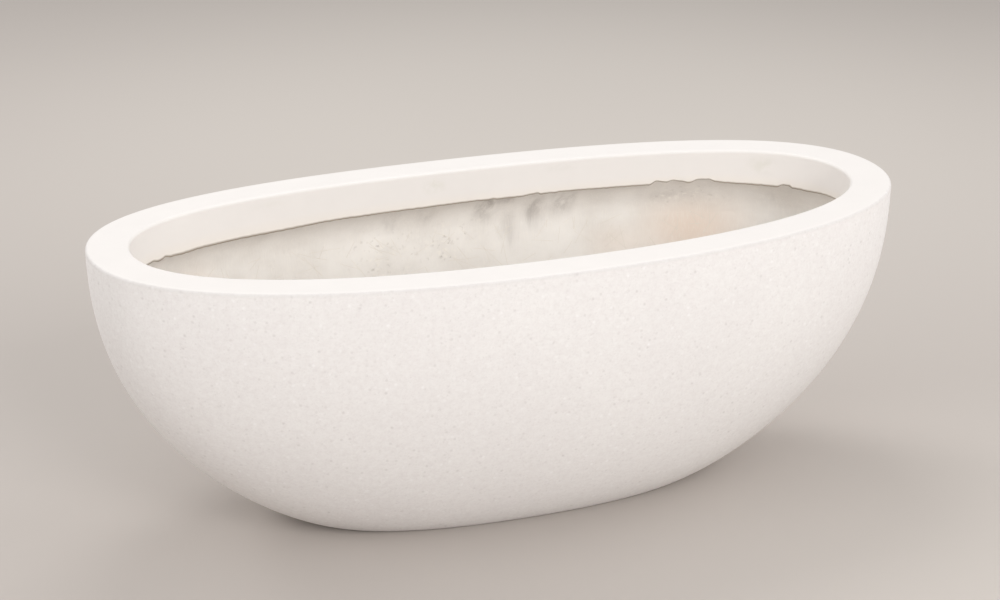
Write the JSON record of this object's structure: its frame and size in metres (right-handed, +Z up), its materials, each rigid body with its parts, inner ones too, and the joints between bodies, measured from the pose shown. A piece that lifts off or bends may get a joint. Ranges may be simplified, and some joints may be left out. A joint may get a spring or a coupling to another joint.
{
  "type": "fiberglass planter",
  "caption": "Long oval bowl planter with a stone-look outer wall, a broad smooth rim turned down inside, a raw glass-mat interior and rubber drain plugs in its flat base.",
  "frame": {"origin": "on the floor under the middle of the base", "axes": "+Z up, X along the length of the oval, Y across it"},
  "size_m": [1.2, 0.53, 0.4369],
  "materials": {
    "stone_face": "sprayed stone-look face, matte, finely pitted and speckled",
    "rim_gel_coat": "smooth moulded gel coat, satin",
    "glass_mat": "raw chopped glass mat and resin, uneven, half gloss",
    "bonding_paste": "set bonding paste",
    "rim_foam": "closed-cell foam",
    "plug_rubber": "moulded black rubber"
  },
  "bodies": {
    "bowl": {"stone_skin": "stone_face", "shell_laminate": "glass_mat", "rim_cap": "rim_gel_coat", "rim_bond": "bonding_paste", "rim_core": "rim_foam", "core_mat": "glass_mat", "base_doubler": "glass_mat"},
    "left_plug": {"drain_plug_left": "plug_rubber"},
    "middle_plug": {"drain_plug_middle": "plug_rubber"},
    "right_plug": {"drain_plug_right": "plug_rubber"}
  },
  "joints": [
    {"name": "left_plug_pull", "type": "slide", "parent": "bowl", "child": "left_plug", "axis": [0, 0, 1], "range_m": [0, 0.05]},
    {"name": "middle_plug_pull", "type": "slide", "parent": "bowl", "child": "middle_plug", "axis": [0, 0, 1], "range_m": [0, 0.05]},
    {"name": "right_plug_pull", "type": "slide", "parent": "bowl", "child": "right_plug", "axis": [0, 0, 1], "range_m": [0, 0.05]}
  ]
}
